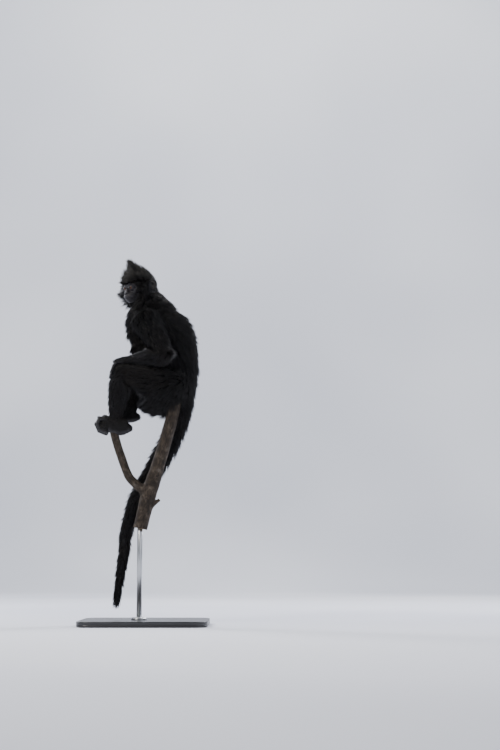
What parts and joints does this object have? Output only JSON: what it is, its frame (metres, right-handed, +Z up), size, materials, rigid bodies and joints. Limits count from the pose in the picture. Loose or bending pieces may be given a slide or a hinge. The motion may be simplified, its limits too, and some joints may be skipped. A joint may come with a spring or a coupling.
{
  "type": "seated ebony langur monkey display model",
  "caption": "Still life-size model of a black leaf monkey sitting on a lopped branch with its tail hanging, held up by a plain rod on a flat base.",
  "frame": {"origin": "middle of the underside of the display stand's flat base, on the floor", "axes": "+Z up, along the whole model's height; the animal's body faces -X and its left side is -Y; its head is turned towards its left"},
  "size_m": [0.4, 0.3, 1.1549],
  "materials": {
    "coat": "satin",
    "skin": "satin",
    "pad": "matte",
    "eye": "gloss",
    "bark": "matte",
    "stand": "satin",
    "steel": "satin"
  },
  "bodies": {
    "root": {"stand_base": "stand", "stand_collar": "steel", "stand_rod": "steel", "perch_stem": "bark", "perch_branch": "bark", "perch_stub": "bark", "eye_left": "eye", "eye_right": "eye", "callosity_left": "pad", "callosity_right": "pad", "hand_left": "skin", "hand_right": "skin", "foot_left": "skin", "foot_right": "skin", "ear_left": "skin", "ear_right": "skin", "muzzle": "skin", "neck": "coat", "head": "coat", "crest": "coat", "chest": "coat", "belly": "coat", "hips": "coat", "tail_base": "coat", "tail_middle": "coat", "tail_end": "coat", "thigh_left": "coat", "thigh_right": "coat", "shank_left": "coat", "shank_right": "coat", "upper_arm_left": "coat", "upper_arm_right": "coat", "forearm_left": "coat", "forearm_right": "coat"}
  },
  "joints": []
}
